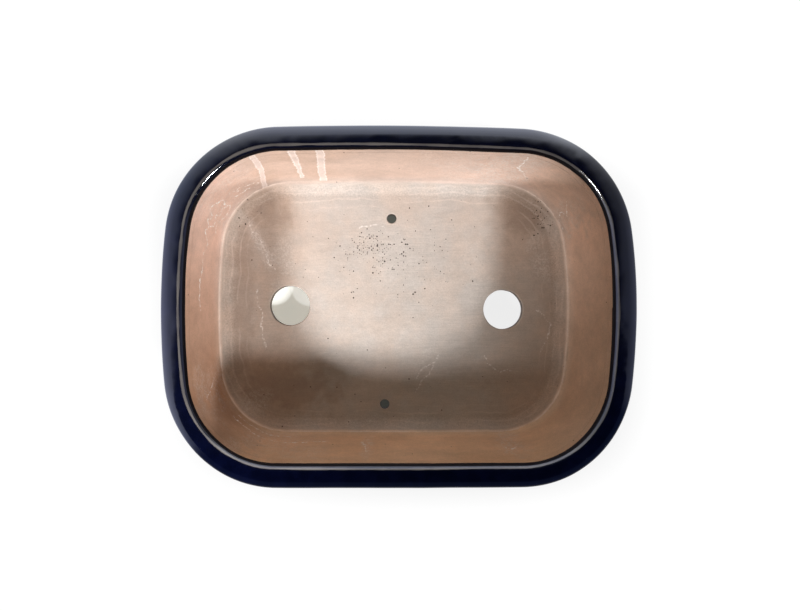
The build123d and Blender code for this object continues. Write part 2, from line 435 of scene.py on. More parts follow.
def wall_marks(points, from_wall):
    """What the clay material reads on the wall. Lengths are in millimetres, and 0 always means no mark."""
    share = np.broadcast_to(ROUND_SHARE[:, None], points.shape[:2])
    places = np.stack([share * WALL_LAP, points[..., 2] / MM], axis=-1)
    slip = np.zeros(points.shape[:2])
    for path, top, bottom in SLIP_RUNS:
        path = [(share * WALL_LAP, height) for share, height in path]
        slip = np.maximum(slip, nearness(wobbled(places, points, 0.35), [path], (top, bottom)))
    paths = [[(share * WALL_LAP, height) for share, height in path] for path in WALL_SCRATCHES]
    inside = points[..., 2] > FLOOR_TOP
    marks = {
        "chalk": nearness(wobbled(places, points, 1.3), paths) * inside,
        "slip": slip * inside,
        "stain": blotches(points, WALL_STAINS_AND_SHADE) * inside,
        "bloom": blotches(points, WALL_BLOOMS) * inside,
    }
    marks["from_wall"] = np.broadcast_to(from_wall / MM, points.shape[:-1])
    return marks


def floor_marks(points, from_wall):
    """What the clay material reads on the floor and the coil."""
    specks = np.zeros(points.shape[:-1])
    for x, y, long, short, density in PINHOLES:
        spread = np.hypot((points[..., 0] / MM - x) / long, (points[..., 1] / MM - y) / short)
        specks = np.maximum(specks, density * smooth(-spread, -1.4, -0.2))
    marks = {
        "chalk": nearness(wobbled(points[..., :2] / MM, points, 1.0), FLOOR_SCRATCHES),
        "stain": blotches(points, FLOOR_STAINS_AND_SHADE),
        "bloom": blotches(points, FLOOR_BLOOMS),
        "specks": specks,
    }
    marks["from_wall"] = np.broadcast_to(from_wall / MM, points.shape[:-1])
    return marks


# ------------------------------------------------------------------ mesh pieces


def ring_faces(rings, steps):
    """Quads of a grid that closes on itself both ways."""
    index = np.arange(rings * steps).reshape(rings, steps)
    right = np.roll(index, -1, axis=0)
    corners = [index, right, np.roll(right, -1, axis=1), np.roll(index, -1, axis=1)]
    return np.stack(corners, axis=-1).reshape(-1, 4)


def signed_volume(points, faces):
    """Volume inside a closed mesh, negative if its faces look inwards."""
    total = 0.0
    for corners in sorted({len(face) for face in faces}):
        group = np.array([face for face in faces if len(face) == corners])
        for i in range(1, corners - 1):
            a, b, c = (points[group[:, k]] for k in (0, i, i + 1))
            total += np.einsum("ij,ij->", a, np.cross(b, c)) / 6
    return total


def make_piece(name, points, faces, material, node, marks=None):
    """A smooth-shaded mesh object in place of a CAD node, with its faces outwards."""
    points = np.asarray(points, float).reshape(-1, 3)
    faces = [list(map(int, face)) for face in faces]
    if signed_volume(points, faces) < 0:
        faces = [face[::-1] for face in faces]
    mesh = bpy.data.meshes.new(name)
    mesh.from_pydata(points.tolist(), [], faces)
    mesh.polygons.foreach_set("use_smooth", [True] * len(mesh.polygons))
    for mark, values in (marks or {}).items():
        layer = mesh.attributes.new(mark, "FLOAT", "POINT")
        layer.data.foreach_set("value", np.asarray(values, np.float32).ravel())
    mesh.materials.append(material)
    piece = bpy.data.objects.new(name, mesh)
    bpy.context.scene.collection.objects.link(piece)
    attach(piece, "root")
    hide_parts(node)
    return piece


# ------------------------------------------------------------------ clay pieces


def build_wall(material):
    """The wall: a closed ring with a hand-finished inner face."""
    inner = even_path([(inner_inset(FLOOR_TOP), FLOOR_TOP), (inner_inset(WALL_TOP), WALL_TOP)], 0.72 * MM)
    outer = even_path(outer_wall(), 2.5 * MM)
    section = np.vstack([inner, outer])
    points = round_pot(section[:, 0], section[:, 1])
    inside = points[:, : len(inner)]
    inside[..., :2] -= RIM_DIRECTIONS[:, None] * inner_relief(inside)[..., None]
    lean(inside)
    marks = wall_marks(points, section[:, 0])
    make_piece("clay_wall", points, ring_faces(*points.shape[:2]), material, "wall", marks)


def build_lip(material):
    """The clay band inside the lip. Only the bottom of its inner face shows, below the glaze."""
    inner = even_path([(inner_inset(WALL_TOP), WALL_TOP), lip_path()[0]], 0.72 * MM)
    over = even_path(lip_path() + [(NECK_INSET, WALL_TOP)], 1.2 * MM)
    section = np.vstack([inner[:-1], over])
    points = round_pot(section[:, 0], section[:, 1])
    inside = points[:, : len(inner) - 1]
    inside[..., :2] -= RIM_DIRECTIONS[:, None] * inner_relief(inside)[..., None]
    lean(inside)
    marks = wall_marks(points, section[:, 0])
    make_piece("clay_lip", points, ring_faces(*points.shape[:2]), material, "rim_band", marks)


def build_coil(material):
    """The luting coil: a soft crest on the wall and a hollow face that runs out on the floor."""
    crest_height = COIL_TOP + 1.3 * MM
    crest = (inner_inset(crest_height) + 0.25 * MM, crest_height)
    toe = (INNER_INSET_AT_FLOOR + COIL_WIDTH + 1.0 * MM, FLOOR_TOP - 0.05 * MM)
    t = np.linspace(0, 1, 34)[1:]
    face = np.stack([crest[0] + (toe[0] - crest[0]) * t, toe[1] + (crest[1] - toe[1]) * (1 - t) ** 2.6], axis=1)
    top_height = crest_height + 1.8 * MM
    rise = np.linspace(0, 1, 9)[:, None]
    start = np.array([inner_inset(top_height) - 0.25 * MM, top_height])
    top = start + (np.array(crest) - start) * rise
    top[:, 0] += 0.25 * MM * np.sin(np.pi * rise[:, 0])
    buried = [(toe[0], FLOOR_TOP - 0.8 * MM), (inner_inset(FLOOR_TOP) - MM, FLOOR_TOP - 0.8 * MM)]
    section = np.vstack([top, face, buried])
    points = round_pot(section[:, 0], section[:, 1])
    shown = points[:, : len(top) + len(face)]
    share = np.broadcast_to((ROUND_SHARE * Noise.CELLS)[:, None], shown.shape[:2])
    along = np.dstack([share, np.zeros(shown.shape[:2]), np.zeros(shown.shape[:2])])
    heave = 0.45 * MM * waves(along + 5.5) + 0.12 * MM * tooling(along * 4 + 9.5)
    off_crest = (section[: shown.shape[1]] - crest) @ (0.3, 1.0)
    weight = np.exp(-((off_crest / (1.7 * MM)) ** 2))
    shown[..., 2] += heave * weight
    rough = 0.06 * MM * grit(shown, 1.1 * MM) * smooth(shown[..., 2], FLOOR_TOP, FLOOR_TOP + 1.2 * MM)
    shown[..., :2] -= RIM_DIRECTIONS[:, None] * (heave * weight * 0.7 + rough)[..., None]
    lean(points)
    marks = floor_marks(points, section[:, 0])
    marks["ridge"] = np.concatenate([weight, [0, 0]]) + 0 * points[..., 0]
    make_piece("clay_seam_coil", points, ring_faces(*points.shape[:2]), material, "seam_coil", marks)


def floor_relief(x, y):
    """Height of the floor's unevenness at a place."""
    spot = np.stack([x, y, np.zeros_like(x)], axis=-1)
    slope = np.stack([x * 0.96 + y * 0.28, y * 0.96 - x * 0.28, np.zeros_like(x)], axis=-1)
    relief = 0.22 * MM * waves(spot + 3.0, 34 * MM) - 0.15 * MM
    relief += 0.05 * MM * tooling(slope, (26 * MM, 2.4 * MM, 1.0))
    fade = smooth(inset_at(x, y), INNER_INSET_AT_FLOOR + COIL_WIDTH - 2 * MM, INNER_INSET_AT_FLOOR + COIL_WIDTH + 5 * MM)
    return relief * fade + 0.025 * MM * grit(spot, 1.4 * MM)


def inset_at(x, y):
    """Distance of floor points from the widest line of the lip, allowing for the lean of the floor's outline."""
    places = np.stack([np.asarray(x) - FLOOR_SHIFT.x, np.asarray(y) - FLOOR_SHIFT.y], axis=-1)
    rim = RIM_POINTS[::3]
    gaps = np.empty(places.shape[:-1])
    flat, out = places.reshape(-1, 2), gaps.reshape(-1)
    for i in range(0, len(flat), 4000):
        part = flat[i : i + 4000, None] - rim
        out[i : i + 4000] = np.sqrt((part**2).sum(axis=-1).min(axis=1))
    return gaps


def slab_edge(angle, inset):
    """Points of the slab's outline in given directions from its middle, moved inwards by an inset."""
    points, directions = outline(4000)
    points = points - directions * BASE_INSET
    bearing = np.unwrap(np.arctan2(points[:, 1], points[:, 0]))
    table = np.hstack([points, directions])
    at = bearing[0] + (angle - bearing[0]) % (2 * math.pi)
    x, y, nx, ny = (np.interp(at, np.append(bearing, bearing[0] + 2 * math.pi), np.append(c, c[0])) for c in table.T)
    return np.stack([x, y], axis=-1) - np.stack([nx, ny], axis=-1) * inset


def build_floor(material):
    """The floor slab: a grid fitted to its outline, with a ring of quads round each hole."""
    half_x, half_y = HALF_LENGTH - BASE_INSET, HALF_WIDTH - BASE_INSET
    columns, rows = round(2 * half_x / FLOOR_CELL), round(2 * half_y / FLOOR_CELL)
    u, v = np.meshgrid(np.linspace(-1, 1, columns + 1), np.linspace(-1, 1, rows + 1), indexing="ij")
    angle = np.arctan2(v * half_y, u * half_x)
    rim = np.linalg.norm(slab_edge(angle, 0), axis=-1)
    with np.errstate(divide="ignore"):
        frame_edge = np.minimum(half_x / np.abs(np.cos(angle)), half_y / np.abs(np.sin(angle)))
    outwards = np.maximum(np.abs(u), np.abs(v))
    fit = 1 - (1 - rim / frame_edge) * outwards**4
    flat = np.stack([u * half_x * fit, v * half_y * fit], axis=-1)
    index = np.arange(flat[..., 0].size).reshape(flat.shape[:2])

    keep = np.ones((columns, rows), bool)
    points = [flat.reshape(-1, 2)]
    heights = [FLOOR_TOP + floor_relief(flat[..., 0], flat[..., 1]).ravel(), np.full(index.size, FOOT_HEIGHT)]
    top, bottom = index, index + index.size
    points.append(flat.reshape(-1, 2))
    total = 2 * index.size
    faces = []

    def strip(first, second):
        """Quads between two closed loops of vertices."""
        faces.extend(zip(first, np.roll(first, -1), np.roll(second, -1), second))

    for name in ("drain_left", "drain_right", "wire_back", "wire_front"):
        mount = MOUNTS[name]
        centre = np.array(mount["pos_m"][:2])
        radius = mount["dims"]["r_mm"] * MM
        i, j = np.unravel_index(np.argmin(np.linalg.norm(flat - centre, axis=-1)), flat.shape[:2])
        reach = math.ceil(radius * 1.25 / FLOOR_CELL) + 1
        keep[i - reach : i + reach, j - reach : j + reach] = False
        span = np.arange(-reach, reach)
        loop_i = np.concatenate([i + span, np.full(2 * reach, i + reach), i - span, np.full(2 * reach, i - reach)])
        loop_j = np.concatenate([np.full(2 * reach, j - reach), j + span, np.full(2 * reach, j + reach), j - span])
        border = flat[loop_i, loop_j]
        away = border - centre
        bearing = np.arctan2(away[:, 1], away[:, 0])
        around = np.stack([np.cos(bearing), np.sin(bearing)], axis=1)
        wobble = 1 + 0.012 * waves(np.stack([2 * around[:, 0], 2 * around[:, 1], radius / MM + 0 * bearing], axis=1))
        edge = 0.7 * MM
        loops = [
            (centre + around * wobble[:, None] * (radius + edge) * (1 - t) + away * t, 0.0)
            for t in (0.72, 0.46, 0.22, 0.08)
        ]
        loops += [
            (centre + around * wobble[:, None] * (radius + edge * (1 - math.sin(a))), edge * (1 - math.cos(a)))
            for a in np.radians([0, 18, 36, 54, 72, 90])
        ]
        previous = top[loop_i, loop_j]
        for plan, drop in loops:
            spots = centre + (plan - centre) if drop else plan
            points.append(spots)
            heights.append(FLOOR_TOP + floor_relief(spots[:, 0], spots[:, 1]) - drop)
            current = total + np.arange(len(spots))
            total += len(spots)
            strip(previous, current)
            previous = current
        for plan, height in (
            (loops[-1][0], (FLOOR_TOP + FOOT_HEIGHT) / 2),
            (loops[-1][0], FOOT_HEIGHT + edge),
            (loops[4][0], FOOT_HEIGHT),
        ):
            points.append(plan)
            heights.append(np.full(len(plan), height))
            current = total + np.arange(len(plan))
            total += len(plan)
            strip(previous, current)
            previous = current
        strip(previous, bottom[loop_i, loop_j])

    i, j = np.nonzero(keep)
    faces.extend(zip(top[i, j], top[i + 1, j], top[i + 1, j + 1], top[i, j + 1]))
    faces.extend(zip(bottom[i, j], bottom[i, j + 1], bottom[i + 1, j + 1], bottom[i + 1, j]))

    # the side, from the top's outline round to the underside's
    span_i, span_j = np.arange(columns), np.arange(rows)
    loop_i = np.concatenate([span_i, np.full(rows, columns), columns - span_i, np.zeros(rows, int)])
    loop_j = np.concatenate([np.zeros(columns, int), span_j, np.full(columns, rows), rows - span_j])
    bearing = angle[loop_i, loop_j]
    previous = top[loop_i, loop_j]
    for inset, height in [(0, FOOT_HEIGHT + BASE_EDGE_RADIUS)] + [
        (BASE_EDGE_RADIUS * (1 - math.cos(a)), FOOT_HEIGHT + BASE_EDGE_RADIUS * (1 - math.sin(a)))
        for a in np.radians([25, 50, 75])
    ]:
        spots = slab_edge(bearing, inset)
        points.append(spots)
        heights.append(np.full(len(spots), height))
        current = total + np.arange(len(spots))
        total += len(spots)
        strip(current, previous)
        previous = current
    strip(bottom[loop_i, loop_j], previous)
    plan = np.vstack(points)
    shrink = 1 - BASE_EDGE_RADIUS / half_y * (outwards.ravel() ** 12)
    plan[index.size : 2 * index.size] *= shrink[:, None]
    spots = np.hstack([plan, np.concatenate(heights)[:, None]])
    used = np.unique(np.array(faces))
    renumber = np.full(len(spots), -1)
    renumber[used] = np.arange(len(used))
    spots = spots[used]
    marks = floor_marks(spots, inset_at(spots[:, 0], spots[:, 1]))
    make_piece("clay_floor", spots, renumber[np.array(faces)], material, "floor_slab", marks)


# ------------------------------------------------------------------ glaze and feet


# the pale line on the lip's inner crest is partly thin glaze and partly a painted highlight
CREST = 4.75 * MM  # from the glaze's inner edge to where it is thinnest, along the section
DRY_BAND = 3.8 * MM
# ---- how far outwards the thin line wanders, in millimetres, by the share of the way round
CREST_WANDER = ((0, 0), (0.12, -0.7), (0.25, 0), (0.37, 0.5), (0.5, 0.9), (0.63, -0.2), (0.75, 0.1), (0.87, -0.5), (1, 0))


def build_glaze(material, dry):
    """The body glaze: a skin that starts inside the lip, goes over it and down to the slab's lower edge."""
    inner_top = lip_path()[0]
    start = (inner_inset(TOTAL_HEIGHT - GLAZE_DEPTH_INSIDE), TOTAL_HEIGHT - GLAZE_DEPTH_INSIDE)
    inner = even_path([start, inner_top], 0.5 * MM)[:-1]
    over = even_path(lip_path(), 0.5 * MM)[:-1]
    base_centre = (BASE_INSET + BASE_EDGE_RADIUS, FOOT_HEIGHT + BASE_EDGE_RADIUS)
    outside = even_path([lip_path()[-1]] + outer_wall() + arc(base_centre, BASE_EDGE_RADIUS, 0, -90), 1.4 * MM)
    path = np.vstack([inner, over, outside])
    along = np.gradient(path, axis=0)
    normal = np.stack([along[:, 1], -along[:, 0]], axis=1)
    normal /= np.linalg.norm(normal, axis=1, keepdims=True)
    length = np.concatenate([[0], np.hypot(*np.diff(path, axis=0).T).cumsum()])
    bead = 0.9 * MM
    from_end = np.minimum(length, length[-1] - length)
    thickness = GLAZE * np.sqrt(1 - (1 - np.clip(from_end / bead, 0, 1)) ** 2)

    # the glaze's edge inside is a little wavy
    share = np.linspace(1, 0, len(inner), endpoint=False)
    wave = waves(np.stack([ROUND_SHARE * Noise.CELLS * 0.25 * 4, 0 * ROUND_SHARE + 7.5, 0 * ROUND_SHARE], axis=1), (4, 1, 1))
    inset = np.tile(path[:, 0], (ROUND_STEPS, 1))
    height = np.tile(path[:, 1], (ROUND_STEPS, 1))
    height[:, : len(inner)] += (0.9 * wave[:, None] - 0.1) * MM * share
    inset[:, : len(inner)] = inner_inset(height[:, : len(inner)])
    front_inset = inset + normal[:, 0] * thickness
    front_height = height + normal[:, 1] * thickness
    round_cells = np.stack([ROUND_SHARE * Noise.CELLS, 0 * ROUND_SHARE + 21.5, 0 * ROUND_SHARE], axis=1)
    rock = math.radians(2.6) * waves(round_cells) + math.radians(0.8) * tooling(round_cells * (2, 1, 1))
    across = inset - (GLAZE + LIP_ROLL_RADIUS + INNER_INSET_AT_TOP - LIP_INNER_RADIUS) / 2
    on_top = np.exp(-((across / (3.6 * MM)) ** 2)) * smooth(height, TOTAL_HEIGHT - 7 * MM, TOTAL_HEIGHT - 2 * MM)
    front_height = front_height + (rock[:, None] * across - 0.12 * MM) * on_top
    front = round_pot(front_inset, front_height)
    back = round_pot(inset - normal[:, 0] * 0.05 * MM, height - normal[:, 1] * 0.05 * MM)[:, ::-1]
    points = np.concatenate([front, back], axis=1)
    edge = np.concatenate([length, length[::-1]])
    marks = {
        "from_edge": np.broadcast_to(edge, points.shape[:2]) / MM,
        "from_crest": (edge - CREST) / MM - np.interp(ROUND_SHARE, *zip(*CREST_WANDER))[:, None],
    }
    relief = 0.5 * inner_relief(points) * smooth(-edge, -7 * MM, -4 * MM)
    points[..., :2] -= RIM_DIRECTIONS[:, None] * relief[..., None]
    swell = 0.12 * MM * (waves(points, (30 * MM, 30 * MM, 20 * MM)) - 1)
    swell += 0.02 * MM * tooling(points, (14 * MM, 14 * MM, 9 * MM))
    swell *= smooth(edge, 12 * MM, 20 * MM)
    swell += 0.10 * MM * tooling(points + 3.3, (22 * MM, 22 * MM, 16 * MM)) * smooth(edge, 30 * MM, 44 * MM)
    points[..., :2] += RIM_DIRECTIONS[:, None] * swell[..., None]
    piece = make_piece("glaze_body", points, ring_faces(*points.shape[:2]), material, "body_glaze", marks)
    piece.data.materials.append(dry)
    rings, steps = points.shape[:2]
    column = np.tile(np.arange(steps), rings)
    middle = (edge[column] + edge[(column + 1) % steps]) / 2
    piece.data.polygons.foreach_set("material_index", (middle < DRY_BAND).astype(np.int32))


def foot_ring(mirror, offset):
    """Outline of a foot's pad, grown by an offset, in order round it."""
    centre = np.array([HALF_LENGTH - SHORT_SIDE_BOW - CORNER_RADIUS, HALF_WIDTH - LONG_SIDE_BOW - CORNER_RADIUS])
    middle = CORNER_RADIUS - FOOT_OUTER_INSET - FOOT_WIDTH / 2
    half = FOOT_WIDTH / 2 + offset
    start, end = math.radians(45 - FOOT_SPAN / 2), math.radians(45 + FOOT_SPAN / 2)
    sweep = np.linspace(start, end, 40)
    turn = np.linspace(0, math.pi, 18)[1:-1]
    outer = (middle + half) * np.stack([np.cos(sweep), np.sin(sweep)], axis=1)
    far = middle * np.array([math.cos(end), math.sin(end)]) + half * np.stack([np.cos(end + turn), np.sin(end + turn)], axis=1)
    inner = (middle - half) * np.stack([np.cos(sweep[::-1]), np.sin(sweep[::-1])], axis=1)
    turn += math.pi
    near = middle * np.array([math.cos(start), math.sin(start)]) + half * np.stack([np.cos(start + turn), np.sin(start + turn)], axis=1)
    return (centre + np.vstack([outer, far, inner, near])) * mirror


def build_foot(name, mirror, clay, glaze):
    """One foot: a tapered pad with softened lower edges, and the skin of glaze on its outside."""
    soften = 1.4 * MM
    taper = math.tan(math.radians(10))
    levels = [(soften * (1 - math.sin(a)), soften * (1 - math.cos(a))) for a in np.radians([90, 65, 40, 15])][::-1]
    levels = [(a, b) for a, b in levels]
    rings = []
    for pull, height in [(soften * 0.9, 0.0), (soften * 0.4, 0.25 * MM), (soften * 0.12, 0.8 * MM), (0, soften)]:
        rings.append((pull, height))
    rings += [(0, h) for h in np.linspace(soften, FOOT_HEIGHT, 8)[1:]]
    loops = []
    for pull, height in rings:
        offset = -pull - taper * (FOOT_HEIGHT - height)
        ring = foot_ring(mirror, offset)
        spots = np.hstack([ring, np.full((len(ring), 1), height)])
        loops.append(spots)
    count = len(loops[0])
    points = np.vstack(loops)
    faces = [list(range(count))[::-1], list(range(len(points) - count, len(points)))]
    for k in range(len(loops) - 1):
        for i in range(count):
            n = (i + 1) % count
            faces.append([k * count + i, k * count + n, (k + 1) * count + n, (k + 1) * count + i])
    make_piece("clay_foot_" + name, points, faces, clay, "foot_" + name)

    outer_part = np.arange(-8, 48) % count
    heights = np.linspace(FOOT_WIPED_BAND, FOOT_HEIGHT, 14)
    bead = smooth(heights, FOOT_WIPED_BAND - 0.2 * MM, FOOT_WIPED_BAND + 0.8 * MM)
    ends = np.minimum(np.arange(len(outer_part)), np.arange(len(outer_part))[::-1]) / 3.0
    ends = np.sqrt(np.clip(ends, 0, 1))
    front, back = [], []
    for height, rise in zip(heights, bead):
        inner = foot_ring(mirror, -taper * (FOOT_HEIGHT - height) - 0.05 * MM)[outer_part]
        outer = foot_ring(mirror, -taper * (FOOT_HEIGHT - height) + GLAZE)[outer_part]
        depth = (rise * ends)[:, None]
        front.append(np.hstack([inner + (outer - inner) * depth, np.full((len(inner), 1), height)]))
        back.append(np.hstack([inner, np.full((len(inner), 1), height)]))
    front, back = np.stack(front), np.stack(back)
    grid = np.concatenate([front, back[::-1]], axis=0)
    rows, columns = grid.shape[:2]
    index = np.arange(rows * columns).reshape(rows, columns)
    below = np.roll(index, -1, axis=0)
    faces = np.stack([index[:, :-1], index[:, 1:], below[:, 1:], below[:, :-1]], axis=-1).reshape(-1, 4).tolist()
    half = rows // 2
    for column in (0, columns - 1):
        for k in range(half - 1):
            quad = [index[k, column], index[k + 1, column], index[rows - 2 - k, column], index[rows - 1 - k, column]]
            faces.append(quad if column == 0 else quad[::-1])
    make_piece("glaze_foot_" + name, grid, faces, glaze, "foot_glaze_" + name)


# ------------------------------------------------------------------ materials


class Shader:
    """A material under construction. Values are numbers, colours or sockets of other nodes."""

    def __init__(self, name):
        self.material = bpy.data.materials.new(name)
        self.material.use_nodes = True
        self.tree = self.material.node_tree
        self.surface = self.tree.nodes["Principled BSDF"]
        self.place = self.add("ShaderNodeTexCoord").outputs["Object"]

    @classmethod
    def for_world(cls, world):
        """The same helper, for a world's node tree."""
        shader = cls.__new__(cls)
        shader.tree = world.node_tree
        shader.surface = shader.tree.nodes["Background"]
        return shader

    def add(self, kind, values=None, **settings):
        node = self.tree.nodes.new(kind)
        for key, value in settings.items():
            setattr(node, key, value)
        for key, value in (values or {}).items():
            self.set(node.inputs[key], value)
        return node

    def set(self, socket, value):
        if isinstance(value, bpy.types.NodeSocket):
            self.tree.links.new(value, socket)
        else:
            socket.default_value = value

    def noise(self, size, detail=3.0, roughness=0.5, stretch=(1, 1, 1)):
        """Noise with features about `size` metres across, from about 0.25 to 0.75."""
        place = self.add("ShaderNodeMapping", {"Vector": self.place, "Scale": stretch}).outputs[0]
        values = {"Vector": place, "Scale": 1 / size, "Detail": detail, "Roughness": roughness}
        return self.add("ShaderNodeTexNoise", values).outputs[0]

    def ramp(self, value, low, high, to_low=0.0, to_high=1.0, kind="SMOOTHSTEP"):
        """A step of a value from low to high, soft unless its kind is LINEAR."""
        values = {"Value": value, "From Min": low, "From Max": high, "To Min": to_low, "To Max": to_high}
        return self.add("ShaderNodeMapRange", values, interpolation_type=kind).outputs[0]

    def colours(self, value, stops):
        """A colour that follows a value through stops of (value, colour)."""
        node = self.add("ShaderNodeValToRGB", {"Fac": value})
        elements = node.color_ramp.elements
        elements[0].position, elements[1].position = stops[0][0], stops[-1][0]
        for position, _ in stops[1:-1]:
            elements.new(position)
        for element, (_, colour) in zip(elements, stops):
            element.color = (*colour, 1.0) if isinstance(colour, tuple) else (colour, colour, colour, 1.0)
        return node.outputs["Color"]

    def maths(self, operation, a, b):
        node = self.add("ShaderNodeMath", operation=operation)
        self.set(node.inputs[0], a)
        self.set(node.inputs[1], b)
        return node.outputs[0]

    def mix(self, share, a, b, blend="MIX"):
        """A colour between a and b, or another blend of them."""
        node = self.add("ShaderNodeMix", data_type="RGBA", blend_type=blend)
        self.set(node.inputs["Factor"], share)
        self.set(node.inputs[6], a)
        self.set(node.inputs[7], b)
        return node.outputs[2]

    def shade(self, colour, factor):
        """A colour made darker or lighter by a factor."""
        return self.add("ShaderNodeVectorMath", {0: colour, 1: factor}, operation="MULTIPLY").outputs[0]

    def mark(self, name):
        return self.add("ShaderNodeAttribute", attribute_name=name).outputs["Fac"]

    def bump(self, height, distance, normal=None):
        values = {"Height": height, "Distance": distance, "Strength": 1.0}
        if normal is not None:
            values["Normal"] = normal
        return self.add("ShaderNodeBump", values).outputs[0]

    def finish(self, **values):
        for key, value in values.items():
            self.set(self.surface.inputs[key.replace("_", " ")], value)
        return self.material


def rgb(red, green, blue):
    return (red, green, blue, 1.0)


def clay_material():
    """Bare fired clay: tan on the walls, greyer and dusty on the floor, with stains, slip, scratches and pinholes,
    and with painted light and shade: lighter and darker sides, pools of shade among the stains, a highlight on the
    coil's crest, and shade in the coil's hollow, the pinholes and the holes' cut sides.
    """
    shader = Shader("bare_clay")
    x, y, z = shader.add("ShaderNodeSeparateXYZ", {"Vector": shader.place}).outputs
    inset = shader.mark("from_wall")
    low = shader.ramp(z, COIL_TOP + 1.5 * MM, COIL_TOP - 1.2 * MM)

    # the wall's colour: the clay's own tan with painted light and shade by side: the back wall lighter towards its
    # right end, the left and right walls lighter at the back and darker towards the front, the front wall more orange
    # as in shade; bluer towards the coil and paler there at the front; and a soft cloudiness
    forward = shader.ramp(y, 0.075, -0.06)
    back = shader.mix(shader.ramp(x, -0.03, 0.06), rgb(0.585, 0.43, 0.345), rgb(0.77, 0.565, 0.46))
    wall = shader.mix(forward, back, rgb(0.765, 0.51, 0.33))
    left = shader.mix(forward, rgb(0.86, 0.60, 0.49), rgb(0.53, 0.305, 0.195))
    wall = shader.mix(shader.ramp(x, -0.075, -0.108), wall, left)
    right = shader.mix(forward, rgb(0.90, 0.62, 0.47), rgb(0.66, 0.465, 0.335))
    wall = shader.mix(shader.ramp(x, 0.075, 0.108), wall, right)
    above_coil = shader.ramp(z, COIL_TOP + 14 * MM, COIL_TOP + 1.0 * MM)
    junction = shader.mix(forward, (0.93, 1.00, 1.06, 1), (1.08, 1.20, 1.28, 1))
    wall = shader.shade(wall, shader.mix(above_coil, (1, 1, 1, 1), junction))
    broad = shader.ramp(shader.noise(0.05, 3), 0.35, 0.65)
    wall = shader.shade(wall, shader.mix(broad, (0.97, 0.95, 0.94, 1), (1.03, 1.05, 1.08, 1)))
    cloud = shader.ramp(shader.noise(0.026, 5, 0.6), 0.36, 0.64)
    floor = shader.mix(cloud, rgb(0.585, 0.495, 0.435), rgb(0.550, 0.495, 0.455))
    ends = shader.ramp(shader.maths("ABSOLUTE", x, 0), 0.050, 0.074)
    floor = shader.shade(floor, shader.mix(ends, (1, 1, 1, 1), (0.97, 0.895, 0.84, 1)))
    colour = shader.mix(low, wall, floor)
    # stains, and pools of painted shade at the front and in the back corners
    colour = shader.mix(shader.mark("stain"), colour, rgb(0.40, 0.305, 0.245))

    # the coil: a pale crest, partly rubbed and partly a painted highlight, a fainter line above it, and a granular
    # hollow with painted shade
    crumbs = shader.ramp(shader.noise(0.0017, 4, 0.75), 0.38, 0.62)
    hollow = shader.maths("MULTIPLY", shader.ramp(inset, 21.4, 23.2), shader.ramp(inset, 33.5, 27.5))
    hollow = shader.maths("MULTIPLY", hollow, low)
    # the hollow: darker and lighter grains, a little darker on the whole as painted shade
    grains = shader.ramp(shader.noise(0.0010, 4, 0.75), 0.36, 0.66, 0.13, -0.10)
    dark = shader.maths("MULTIPLY", hollow, grains)
    colour = shader.shade(colour, shader.maths("SUBTRACT", 1.0, dark))
    drift = shader.maths("ADD", inset, shader.ramp(shader.noise(0.028, 4), 0.3, 0.7, -1.9, 1.9, kind="LINEAR"))
    for place, strength in FINGER_LINES:
        aside = shader.maths("ABSOLUTE", shader.maths("SUBTRACT", drift, place), 0)
        faint = shader.ramp(shader.noise(0.02 + place * 0.0001, 2), 0.38, 0.6, 0.0, strength)
        faint = shader.maths("MULTIPLY", shader.ramp(aside, 0.75, 0.1, 0.0, 1.0), faint)
        colour = shader.mix(shader.maths("MULTIPLY", faint, low), colour, rgb(0.86, 0.73, 0.65))
    wear_and_highlight = shader.ramp(shader.noise(0.012, 4, 0.6), 0.3, 0.65, 0.55, 1.0)
    sideways = shader.maths("ABSOLUTE", x, 0)
    bare_and_highlight = shader.maths("MAXIMUM", shader.ramp(y, 0.080, 0.01, 0.12, 1.0), shader.ramp(sideways, 0.060, 0.082, 0.0, 0.9))
    wear_and_highlight = shader.maths("MULTIPLY", wear_and_highlight, bare_and_highlight)
    # the crest's pale line: rubbed clay and a painted highlight, weaker along the middle of the back
    rubbed_and_highlight = shader.maths("MULTIPLY", shader.ramp(shader.mark("ridge"), 0.1, 1.0, 0.0, 0.72), wear_and_highlight)
    colour = shader.mix(rubbed_and_highlight, colour, rgb(0.88, 0.72, 0.62))
    crest = shader.maths("MULTIPLY", shader.ramp(shader.mark("ridge"), 0.78, 0.99, 0.0, 0.75), wear_and_highlight)
    colour = shader.mix(crest, colour, rgb(0.97, 0.85, 0.76))

    # pale powder, slip runs with a paler edge, and scratches
    powder = shader.maths("MULTIPLY", shader.mark("bloom"), shader.ramp(crumbs, 0.2, 1.0, 0.10, 0.62))
    colour = shader.mix(powder, colour, rgb(0.75, 0.70, 0.66))
    slip = shader.maths("ADD", shader.mark("slip"), shader.ramp(shader.noise(0.0016, 3), 0.3, 0.7, -0.35, 0.35))
    body = shader.ramp(slip, MARK_REACH - 0.1, MARK_REACH + 0.5, 0.0, 0.42)
    from_rim = shader.maths("ABSOLUTE", shader.maths("SUBTRACT", slip, MARK_REACH + 0.45), 0)
    rim = shader.ramp(from_rim, 0.5, 0.05, 0.0, 0.38)
    colour = shader.mix(shader.maths("ADD", body, rim), colour, rgb(0.90, 0.80, 0.76))
    ragged = shader.maths("ADD", shader.mark("chalk"), shader.ramp(shader.noise(0.0013, 3), 0.3, 0.7, -0.45, 0.25))
    line = shader.ramp(ragged, MARK_REACH - 0.75, MARK_REACH - 0.05, 0.0, 0.95)
    line = shader.maths("MULTIPLY", line, shader.mix(low, (1, 1, 1, 1), (0.6, 0.6, 0.6, 1)))
    colour = shader.mix(line, colour, rgb(1.0, 0.95, 0.92))

